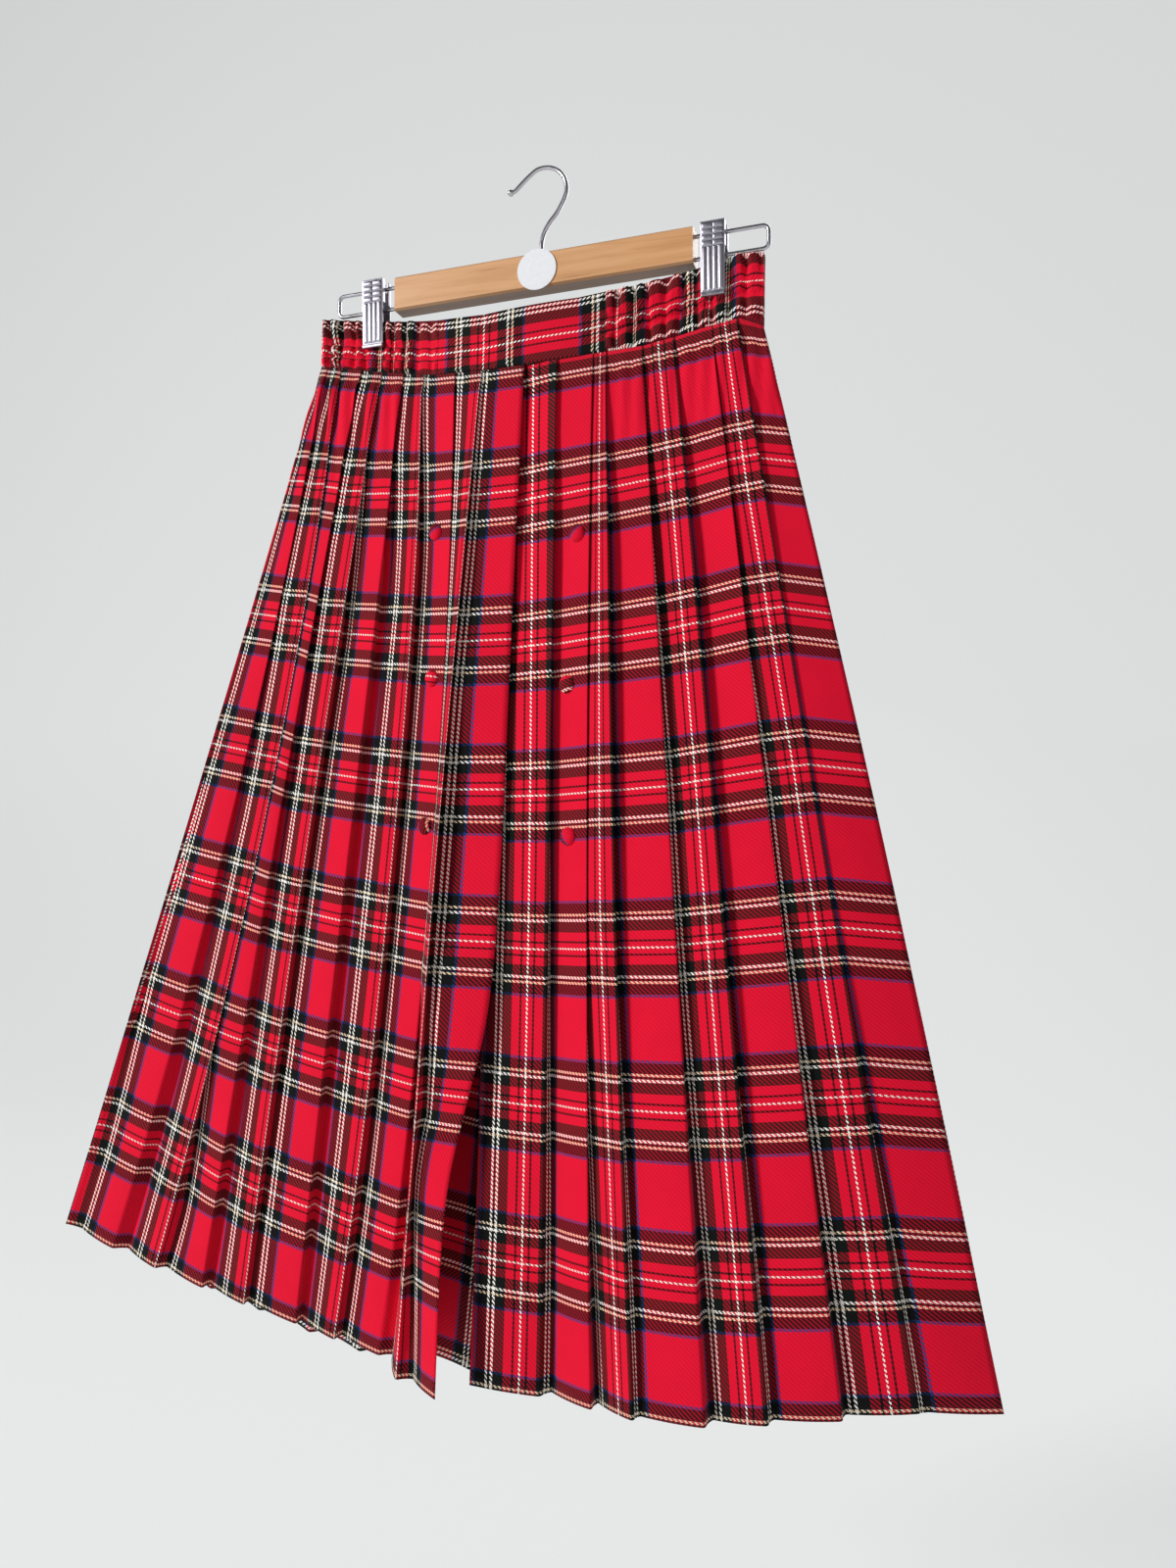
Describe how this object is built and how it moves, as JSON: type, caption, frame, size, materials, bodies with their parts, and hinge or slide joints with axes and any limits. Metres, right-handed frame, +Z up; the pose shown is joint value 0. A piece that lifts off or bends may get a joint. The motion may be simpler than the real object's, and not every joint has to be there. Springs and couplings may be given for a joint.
{
  "type": "pleated skirt on a clip hanger",
  "caption": "Knife-pleated tartan skirt with an elasticated waistband, a side slit and two columns of buttons, hung by two clips from a wooden bar hanger with a wire hook.",
  "frame": {"origin": "inside top of the hanger's hook, where a peg or rail carries it, in the hanger's middle plane", "axes": "+X the viewer's right, +Y towards the wall or wardrobe back, +Z up; the front of the skirt faces -Y"},
  "size_m": [0.7664, 0.093, 0.9355],
  "materials": {
    "tartan": "brushed wool-blend twill woven in a red, navy, black, yellow, white and green tartan",
    "hanger_wood": "clear-lacquered beech",
    "hanger_wire": "bright nickel-chrome plated wire",
    "clip_metal": "bright plated pressed steel",
    "label": "bare white paper sticker"
  },
  "bodies": {
    "root": {"hanger_bar": "hanger_wood", "hanger_hook": "hanger_wire", "hanger_label": "label", "rail_left": "hanger_wire", "rail_right": "hanger_wire", "clip_left_front_jaw": "clip_metal", "clip_left_back_jaw": "clip_metal", "clip_left_spring": "clip_metal", "clip_right_front_jaw": "clip_metal", "clip_right_back_jaw": "clip_metal", "clip_right_spring": "clip_metal", "waistband_front_flat": "tartan", "waistband_front_left": "tartan", "waistband_front_right": "tartan", "waistband_back": "tartan", "skirt_front_left": "tartan", "skirt_front_right": "tartan", "skirt_back": "tartan", "button_left_1": "tartan", "button_left_2": "tartan", "button_left_3": "tartan", "button_right_1": "tartan", "button_right_2": "tartan", "button_right_3": "tartan"}
  },
  "joints": []
}
